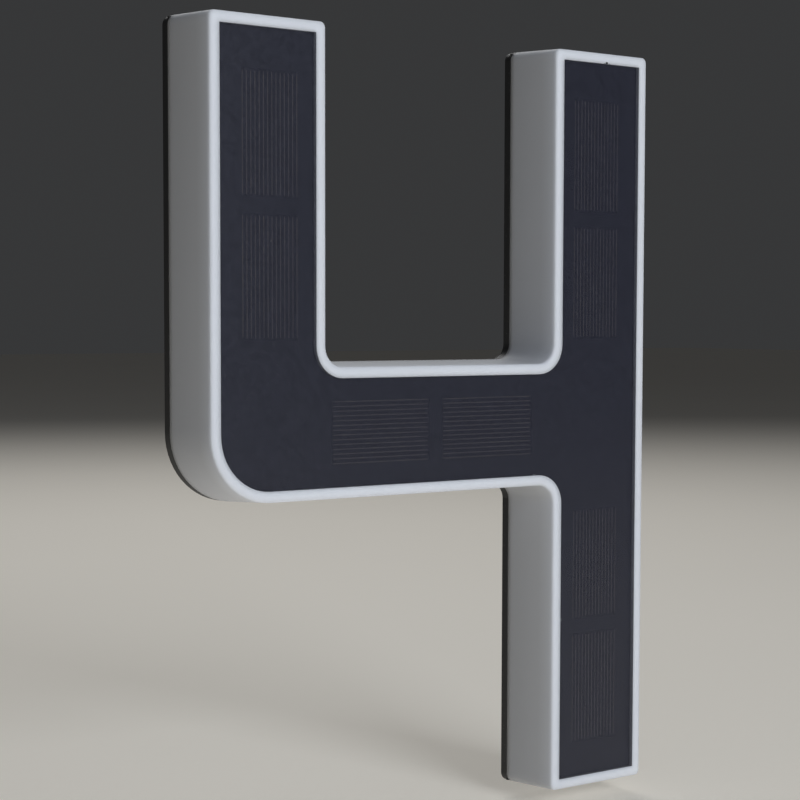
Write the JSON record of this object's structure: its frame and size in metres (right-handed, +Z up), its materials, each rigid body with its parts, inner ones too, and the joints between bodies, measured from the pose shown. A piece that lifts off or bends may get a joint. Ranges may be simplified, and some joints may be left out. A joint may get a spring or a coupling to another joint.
{
  "type": "illuminated house number sign",
  "caption": "Solar house number four: drafted opal skirt, flush smoked solar window, black back cover with keyhole hangers, battery door and power switch.",
  "frame": {"origin": "on the wall plane behind the middle of the crossbar, which is also the middle of the digit's height and width", "axes": "+X to the right seen from the front, +Z up the digit, +Y into the wall; the front faces -Y"},
  "size_m": [0.1394, 0.0209, 0.2],
  "materials": {
    "opal_plastic": "opal white, lit from inside, fine satin",
    "smoked_window": "dark smoked sheet, satin",
    "black_tape": "dark foam tape",
    "solar_board": "black solder mask",
    "solar_cell": "dark silicon with fine silver lines",
    "black_plastic": "black moulded plastic, fine texture",
    "seal_rubber": "soft dark rubber",
    "screw_steel": "zinc-plated steel",
    "battery_sleeve": "plain shrink sleeve with a bare metal top",
    "contact_nickel": "nickel-plated spring steel",
    "green_board": "green solder mask",
    "white_board": "white solder mask",
    "component_black": "moulded package",
    "ferrite": "dark ferrite",
    "capacitor_can": "bare aluminium can",
    "led_package": "white package with a yellow phosphor face",
    "lead_red": "red insulation",
    "lead_black": "black insulation"
  },
  "bodies": {
    "sign": {"diffuser_body": "opal_plastic", "front_panel": "smoked_window", "panel_tape": "black_tape", "solar_board_left_arm": "solar_board", "solar_board_crossbar": "solar_board", "solar_board_upper_stem": "solar_board", "solar_board_lower_stem": "solar_board", "solar_cells_left_arm": "solar_cell", "solar_cells_crossbar": "solar_cell", "solar_cells_upper_stem": "solar_cell", "solar_cells_lower_stem": "solar_cell", "back_cover": "black_plastic", "cover_seal": "seal_rubber", "cover_screws": "screw_steel", "battery": "battery_sleeve", "battery_contact_positive": "contact_nickel", "battery_contact_negative": "contact_nickel", "battery_spring": "contact_nickel", "control_board": "green_board", "control_board_screws": "screw_steel", "control_chip": "component_black", "boost_inductor": "ferrite", "smoothing_capacitor": "capacitor_can", "switch_body": "component_black", "led_board_left_arm": "white_board", "led_board_crossbar": "white_board", "led_board_upper_stem": "white_board", "led_boards_lower_stem": "white_board", "leds": "led_package", "solar_leads_positive": "lead_red", "solar_leads_negative": "lead_black", "led_leads_positive": "lead_red", "led_leads_negative": "lead_black", "battery_lead_positive": "lead_red", "battery_lead_negative": "lead_black"},
    "power_switch": {"switch_knob": "component_black"},
    "battery_door": {"battery_door": "black_plastic", "battery_door_seal": "seal_rubber", "battery_door_screws": "screw_steel"}
  },
  "joints": [
    {"name": "power_switch_slide", "type": "slide", "parent": "sign", "child": "power_switch", "axis": [1, 0, 0], "range_m": [0, 0.002]},
    {"name": "battery_door_lift", "type": "slide", "parent": "sign", "child": "battery_door", "axis": [0, 1, 0], "range_m": [0, 0.04]}
  ]
}
